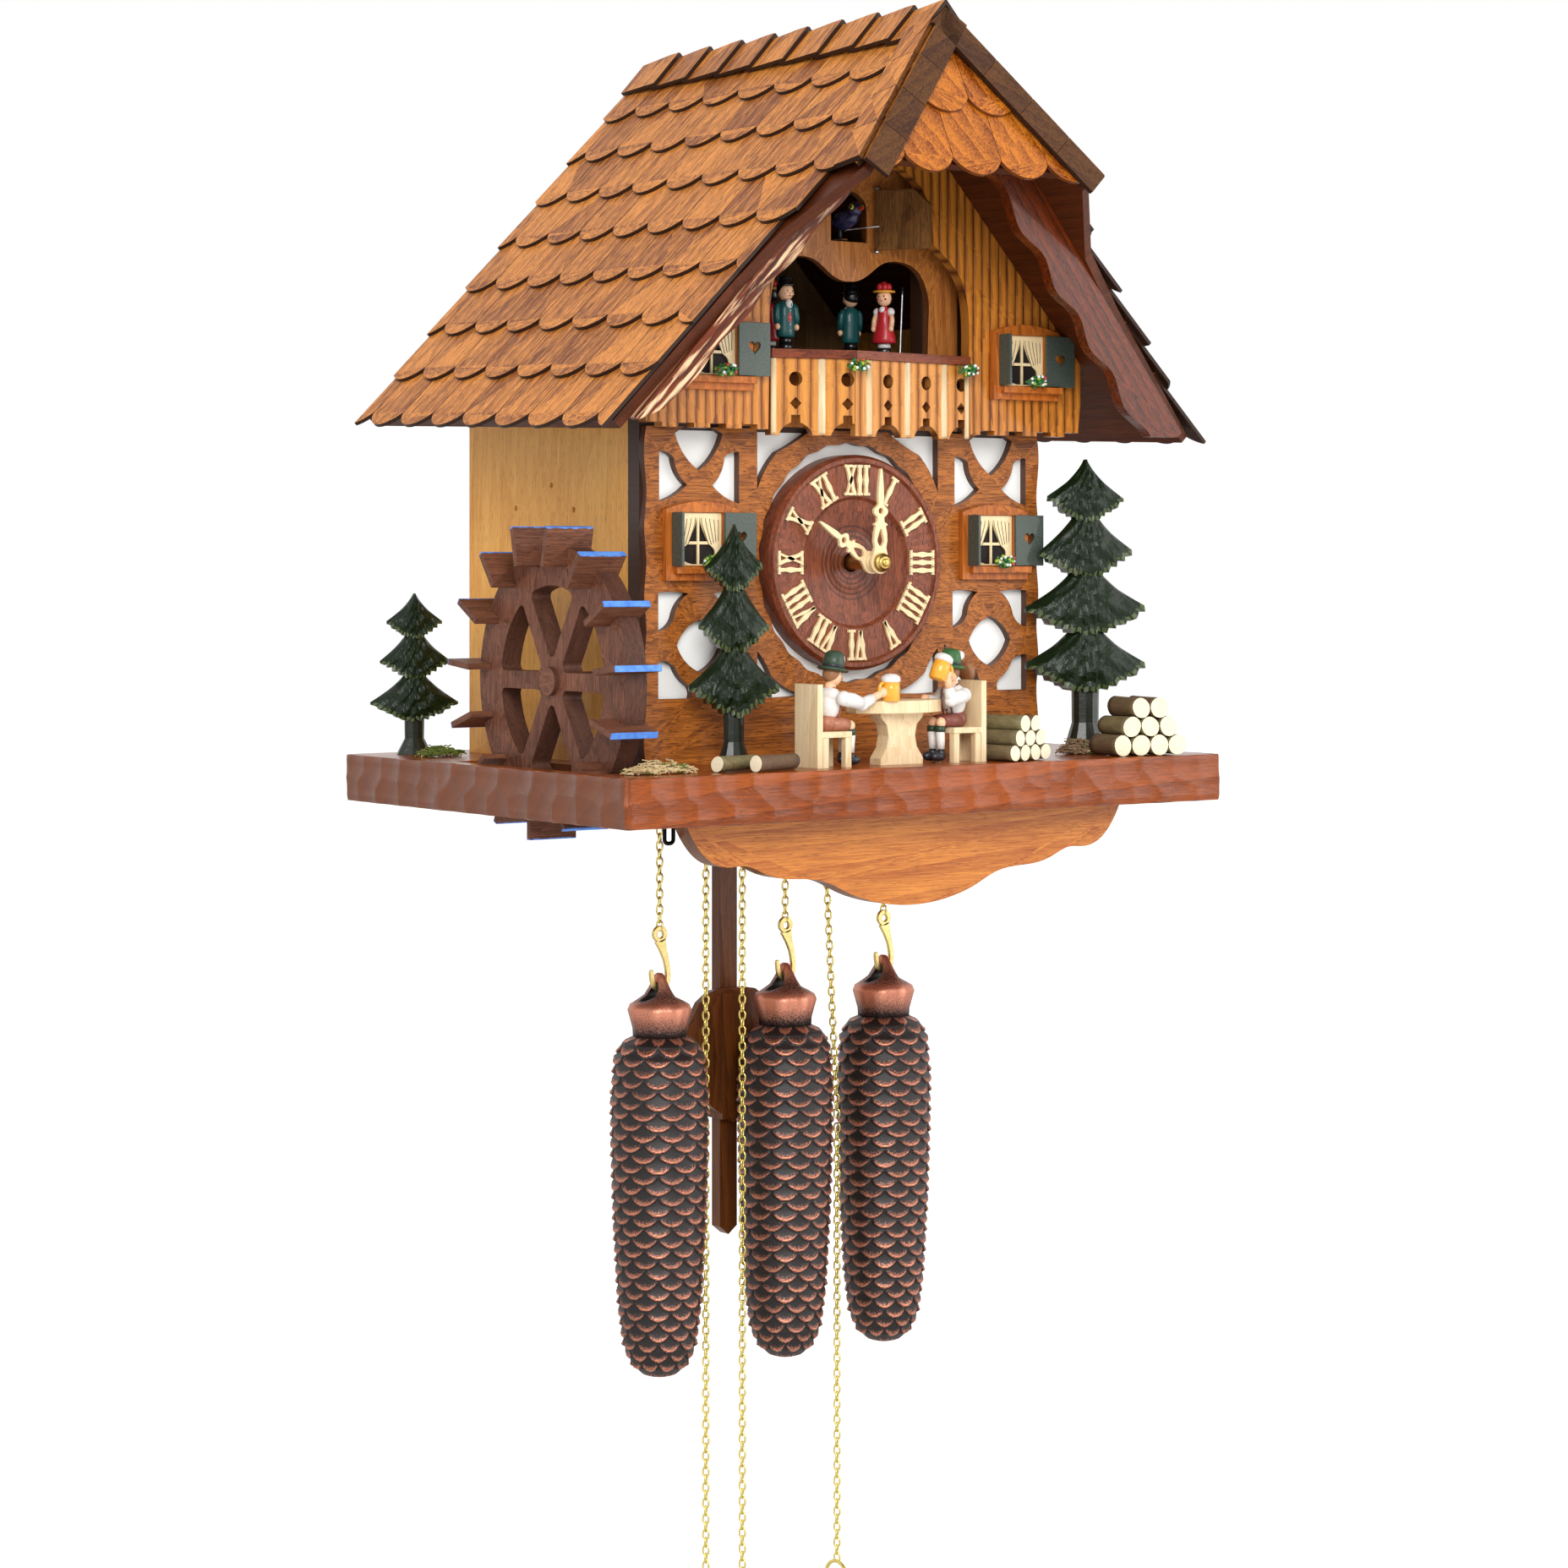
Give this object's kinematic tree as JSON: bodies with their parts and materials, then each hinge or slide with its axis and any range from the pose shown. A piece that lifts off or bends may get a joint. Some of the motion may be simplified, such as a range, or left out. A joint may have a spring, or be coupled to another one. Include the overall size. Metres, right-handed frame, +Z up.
{
  "type": "cuckoo clock",
  "caption": "Chalet cuckoo clock with shingled half-hip roof, dancers on a stage, water wheel, seated beer drinkers, trees, hanging cone weights, chains and pendulum",
  "frame": {"origin": "centre of the hanging hole in the steel plate, at the back face of the back frame", "axes": "+Z up, +Y towards the wall, +X to the right seen from the front"},
  "size_m": [0.3446, 0.276, 0.7545],
  "materials": {
    "base_wood": "stained reddish brown, glossy lacquer",
    "side_wood": "honey lacquer, upright grain",
    "white_board": "white paint",
    "fret_wood": "brown stain, level grain, satin lacquer",
    "apron_wood": "amber stain, satin lacquer",
    "frame_wood": "plain plywood",
    "roof_wood": "brown stain, open grain",
    "hip_wood": "orange stain, glossy lacquer",
    "roof_lining": "dark brown stain",
    "gable_wood": "brown stain, glossy lacquer",
    "balcony_wood": "light amber lacquer",
    "rail_wood": "reddish stain",
    "pale_wood": "natural, unvarnished",
    "dial_wood": "turned, dark red-brown lacquer",
    "cream": "cream moulding",
    "curtain": "cream print",
    "shutter_paint": "blackish green paint",
    "flowers": "green glitter with bright beads",
    "tree_paint": "dark green gloss paint",
    "moss": "dried moss and straw",
    "figure_paint": "painted turned wood",
    "drinker_paint": "painted",
    "bird_paint": "blue-black paint",
    "door_wood": "brown stain",
    "brass": "bright, lightly tarnished",
    "steel": "bare",
    "black_wire": "black wire",
    "weight_iron": "bronze-black finish with copper rub",
    "pendulum_wood": "dark red-brown lacquer",
    "wheel_wood": "dark brown stain",
    "bellows_cloth": "plain wood and cloth",
    "gong_steel": "blued spring steel"
  },
  "bodies": {
    "case": {"base_board": "base_wood", "case_sides": "side_wood", "back_frame": "frame_wood", "hanger_plate": "steel", "front_board": "white_board", "half_timber": "fret_wood", "apron": "apron_wood", "gable_board": "gable_wood", "stage_arch": "gable_wood", "stage_floor": "rail_wood", "balcony_front": "balcony_wood", "balcony_rail": "rail_wood", "roof_boards": "roof_lining", "roof_shingles": "roof_wood", "hip_shingles": "hip_wood", "verge_boards": "hip_wood", "window_frames": "gable_wood", "window_curtains": "curtain", "window_shutters": "shutter_paint", "flower_boxes": "flowers", "dial_plate": "dial_wood", "dial_numerals": "cream", "movement_frame": "brass", "bellows": "bellows_cloth", "gong": "gong_steel", "music_movement": "brass", "door_eyes": "steel", "drinker_bodies": "drinker_paint", "table_and_chairs": "pale_wood", "fir_trees": "tree_paint", "log_piles": "pale_wood", "straw_and_moss": "moss"},
    "back_panel": {"back_panel": "frame_wood"},
    "hour_hand": {"hour_hand": "cream"},
    "minute_hand": {"minute_hand": "cream", "hand_nut": "brass"},
    "pendulum": {"pendulum_rod": "pendulum_wood", "pendulum_bob": "pendulum_wood"},
    "cuckoo": {"cuckoo_bird": "bird_paint"},
    "door": {"cuckoo_door": "door_wood"},
    "dancer_stage": {"dancer_platform": "rail_wood", "dancers": "figure_paint"},
    "water_wheel": {"wheel_discs": "wheel_wood", "wheel_paddles": "wheel_wood"},
    "left_arm": {"drinker_left_arm": "drinker_paint"},
    "right_arm": {"drinker_right_arm": "drinker_paint"},
    "gong_hammer": {"gong_hammer": "steel"},
    "shutoff_lever": {"shutoff_lever": "black_wire"},
    "weight_left": {"weight_left": "weight_iron", "hook_chain_left": "brass"},
    "free_chain_left": {"free_chain_left": "brass"},
    "sprocket_left": {"sprocket_left": "brass"},
    "weight_middle": {"weight_middle": "weight_iron", "hook_chain_middle": "brass"},
    "free_chain_middle": {"free_chain_middle": "brass"},
    "sprocket_middle": {"sprocket_middle": "brass"},
    "weight_right": {"weight_right": "weight_iron", "hook_chain_right": "brass"},
    "free_chain_right": {"free_chain_right": "brass"},
    "sprocket_right": {"sprocket_right": "brass"}
  },
  "joints": [
    {"name": "back_panel_pull", "type": "slide", "parent": "case", "child": "back_panel", "axis": [0, 1, 0], "range_m": [0, 0.025]},
    {"name": "minute_hand_turn", "type": "hinge", "parent": "case", "child": "minute_hand", "pos_m": [0, -0.15, -0.1594], "axis": [0, 1, 0], "continuous": true},
    {"name": "hour_hand_turn", "type": "hinge", "parent": "case", "child": "hour_hand", "pos_m": [0, -0.15, -0.1594], "axis": [0, 1, 0], "continuous": true},
    {"name": "pendulum_swing", "type": "hinge", "parent": "case", "child": "pendulum", "pos_m": [0, -0.0495, -0.138], "axis": [0, 1, 0], "range_deg": [-5, 5]},
    {"name": "door_close", "type": "hinge", "parent": "case", "child": "door", "pos_m": [0.0145, -0.1519, -0.0144], "axis": [0, 0, -1], "range_deg": [0, 118]},
    {"name": "cuckoo_retract", "type": "slide", "parent": "case", "child": "cuckoo", "axis": [0, 1, 0], "range_m": [0, 0.0281]},
    {"name": "wheel_turn", "type": "hinge", "parent": "case", "child": "water_wheel", "pos_m": [-0.143, -0.127, -0.212], "axis": [1, 0, 0], "continuous": true},
    {"name": "dancers_turn", "type": "hinge", "parent": "case", "child": "dancer_stage", "pos_m": [-0.001, -0.136, -0.0658], "axis": [0, 0, 1], "continuous": true},
    {"name": "left_arm_raise", "type": "hinge", "parent": "case", "child": "left_arm", "pos_m": [-0.0489, -0.2106, -0.2185], "axis": [0, -1, 0], "range_deg": [0, 38]},
    {"name": "right_arm_lower", "type": "hinge", "parent": "case", "child": "right_arm", "pos_m": [0.0199, -0.2106, -0.2185], "axis": [0, -1, 0], "range_deg": [-6, 12]},
    {"name": "gong_strike", "type": "hinge", "parent": "case", "child": "gong_hammer", "pos_m": [-0.022, -0.029, -0.202], "axis": [0, 1, 0], "range_deg": [-10, 7]},
    {"name": "lever_turn", "type": "hinge", "parent": "case", "child": "shutoff_lever", "pos_m": [-0.1215, -0.184, -0.272], "axis": [0, 0, 1], "range_deg": [-30, 30]},
    {"name": "weight_left_run", "type": "slide", "parent": "case", "child": "weight_left", "axis": [0, 0, 1], "range_m": [-0.1, 0.02]},
    {"name": "free_chain_left_run", "type": "slide", "parent": "case", "child": "free_chain_left", "axis": [0, 0, 1], "range_m": [-0.0202, 0.1002]},
    {"name": "sprocket_left_turn", "type": "hinge", "parent": "case", "child": "sprocket_left", "pos_m": [-0.047, -0.084, -0.19], "axis": [0, 1, 0], "range_deg": [-405, 82]},
    {"name": "weight_middle_run", "type": "slide", "parent": "case", "child": "weight_middle", "axis": [0, 0, 1], "range_m": [-0.1, 0.02]},
    {"name": "free_chain_middle_run", "type": "slide", "parent": "case", "child": "free_chain_middle", "axis": [0, 0, 1], "range_m": [-0.0202, 0.1002]},
    {"name": "sprocket_middle_turn", "type": "hinge", "parent": "case", "child": "sprocket_middle", "pos_m": [-0.0028, -0.084, -0.19], "axis": [0, 1, 0], "range_deg": [-82, 405]},
    {"name": "weight_right_run", "type": "slide", "parent": "case", "child": "weight_right", "axis": [0, 0, 1], "range_m": [-0.1, 0.02]},
    {"name": "free_chain_right_run", "type": "slide", "parent": "case", "child": "free_chain_right", "axis": [0, 0, 1], "range_m": [-0.0202, 0.1002]},
    {"name": "sprocket_right_turn", "type": "hinge", "parent": "case", "child": "sprocket_right", "pos_m": [0.0566, -0.084, -0.19], "axis": [0, 1, 0], "range_deg": [-82, 405]}
  ],
  "couplings": [
    {"joint": "hour_hand_turn", "follows": "minute_hand_turn", "ratio": 0.083333},
    {"joint": "cuckoo_retract", "follows": "door_close", "m_per_rad": 0.0136},
    {"joint": "dancers_turn", "follows": "wheel_turn", "ratio": 1},
    {"joint": "free_chain_left_run", "follows": "weight_left_run", "ratio": -1},
    {"joint": "sprocket_left_turn", "follows": "weight_left_run", "rad_per_m": 70.423},
    {"joint": "free_chain_middle_run", "follows": "weight_middle_run", "ratio": -1},
    {"joint": "sprocket_middle_turn", "follows": "weight_middle_run", "rad_per_m": -70.423},
    {"joint": "free_chain_right_run", "follows": "weight_right_run", "ratio": -1},
    {"joint": "sprocket_right_turn", "follows": "weight_right_run", "rad_per_m": -70.423}
  ]
}
